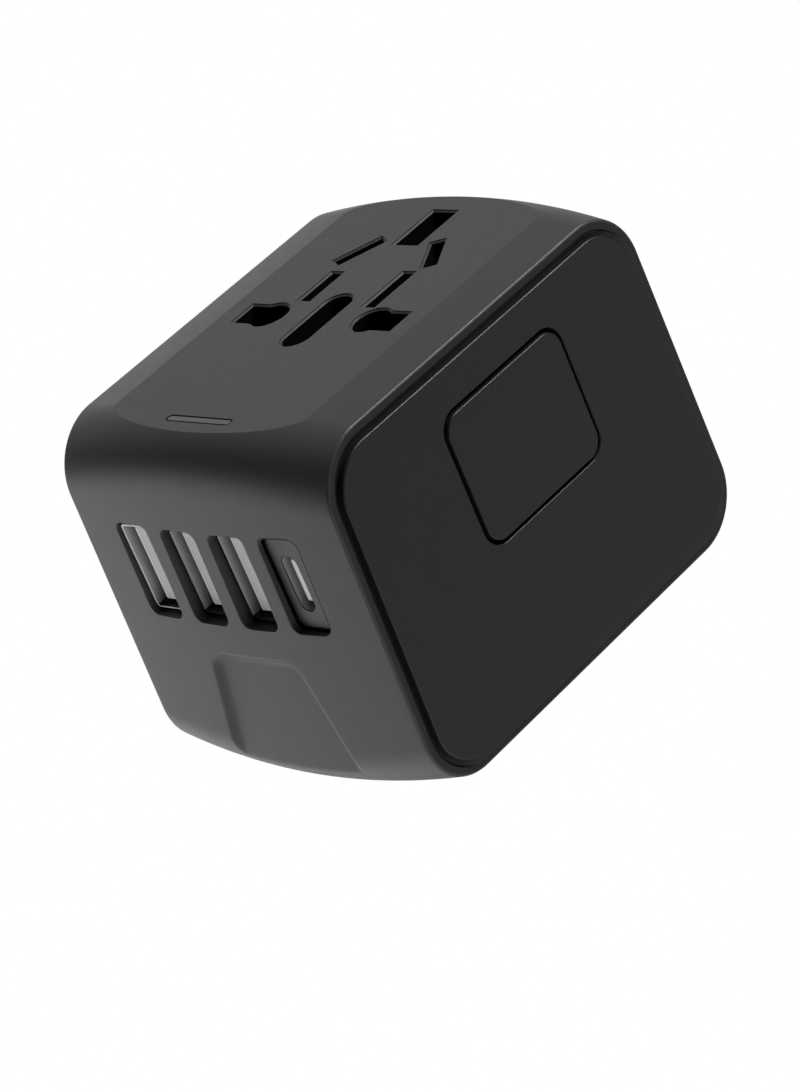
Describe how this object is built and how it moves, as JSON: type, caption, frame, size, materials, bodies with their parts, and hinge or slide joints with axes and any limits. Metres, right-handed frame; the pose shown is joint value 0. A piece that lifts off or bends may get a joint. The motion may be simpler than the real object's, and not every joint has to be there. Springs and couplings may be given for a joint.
{
  "type": "universal travel adapter",
  "caption": "Box-shaped universal travel adapter: multi-standard socket on top, upright USB sockets in front, retractable plug pins below and a side release button.",
  "frame": {"origin": "centre of the base, on the plug face", "axes": "+X to the panel with the release button, +Y away from the USB sockets, +Z from the plug face up to the socket face"},
  "size_m": [0.0512, 0.0674, 0.0525],
  "materials": {
    "shell": "fine moulded texture",
    "panel": "satin",
    "knob": "ribbed, fine moulded texture",
    "inner": "smooth",
    "sleeve": "smooth",
    "lens": "smoked, frosted",
    "brass": "drawn",
    "nickel": "nickel plated",
    "steel": "brushed",
    "tongue": "smooth",
    "board": "solder mask",
    "ferrite": "sintered",
    "tape": "wound tape",
    "can": "sleeved can",
    "glass": "clear",
    "diode": "clear lens"
  },
  "bodies": {
    "housing": {"main_housing": "shell", "right_side_panel": "panel", "left_side_panel": "panel", "inner_frame": "inner", "release_spring": "steel", "contact_live": "brass", "contact_neutral": "brass", "contact_earth": "brass", "bus_bar_live": "brass", "bus_bar_neutral": "brass", "shutter_spring": "steel", "usb_pcb": "board", "usb_a_shell_1": "steel", "usb_a_shell_2": "steel", "usb_a_shell_3": "steel", "usb_a_tongue_1": "tongue", "usb_a_tongue_2": "tongue", "usb_a_tongue_3": "tongue", "usb_c_bezel": "inner", "usb_c_shell": "steel", "usb_c_tongue": "tongue", "transformer_core": "ferrite", "transformer_coil": "tape", "capacitor_left": "can", "capacitor_right": "can", "led_board": "board", "led": "diode", "light_pipe": "lens", "fuse_leaf_left": "brass", "fuse_leaf_right": "brass", "deck_screw_1": "steel", "deck_screw_2": "steel", "deck_screw_3": "steel", "deck_screw_4": "steel"},
    "release_button": {"release_button": "panel", "latch_plate": "inner"},
    "eu_slider": {"eu_carriage": "inner", "eu_knob": "knob", "eu_pin_left": "nickel", "eu_pin_right": "nickel", "eu_sleeve_left": "sleeve", "eu_sleeve_right": "sleeve"},
    "uk_slider": {"uk_carriage": "inner", "uk_knob": "knob", "uk_pin_live": "brass", "uk_pin_neutral": "brass", "uk_pin_earth": "brass", "uk_sleeve_live": "sleeve", "uk_sleeve_neutral": "sleeve"},
    "us_slider": {"us_carriage": "inner", "us_knob": "knob"},
    "us_left_blade": {"us_hub_left": "inner", "us_blade_left": "nickel"},
    "us_right_blade": {"us_hub_right": "inner", "us_blade_right": "nickel"},
    "shutter": {"shutter": "inner"},
    "fuse_drawer": {"fuse_drawer": "shell", "fuse_tube": "glass", "fuse_cap_left": "nickel", "fuse_cap_right": "nickel"}
  },
  "joints": [
    {"name": "release_press", "type": "slide", "parent": "housing", "child": "release_button", "axis": [-1, 0, 0], "range_m": [0, 0.001], "stiffness_N_per_m": 2000, "deforming": ["release_spring"]},
    {"name": "eu_slide", "type": "slide", "parent": "housing", "child": "eu_slider", "axis": [0, 0, -1], "range_m": [0, 0.02]},
    {"name": "uk_slide", "type": "slide", "parent": "housing", "child": "uk_slider", "axis": [0, 0, -1], "range_m": [0, 0.0232]},
    {"name": "us_slide", "type": "slide", "parent": "housing", "child": "us_slider", "axis": [0, 0, -1], "range_m": [0, 0.0183]},
    {"name": "us_left_twist", "type": "hinge", "parent": "us_slider", "child": "us_left_blade", "pos_m": [-0.00635, 0.00945, 0.0249], "axis": [0, 0, 1], "range_deg": [-30, 0]},
    {"name": "us_right_twist", "type": "hinge", "parent": "us_slider", "child": "us_right_blade", "pos_m": [0.00635, 0.00945, 0.0249], "axis": [0, 0, 1], "range_deg": [0, 30]},
    {"name": "shutter_slide", "type": "slide", "parent": "housing", "child": "shutter", "axis": [0, -1, 0], "range_m": [0, 0.0076], "stiffness_N_per_m": 40, "deforming": ["shutter_spring"]},
    {"name": "fuse_drawer_slide", "type": "slide", "parent": "housing", "child": "fuse_drawer", "axis": [0, 0, -1], "range_m": [0, 0.008]}
  ]
}
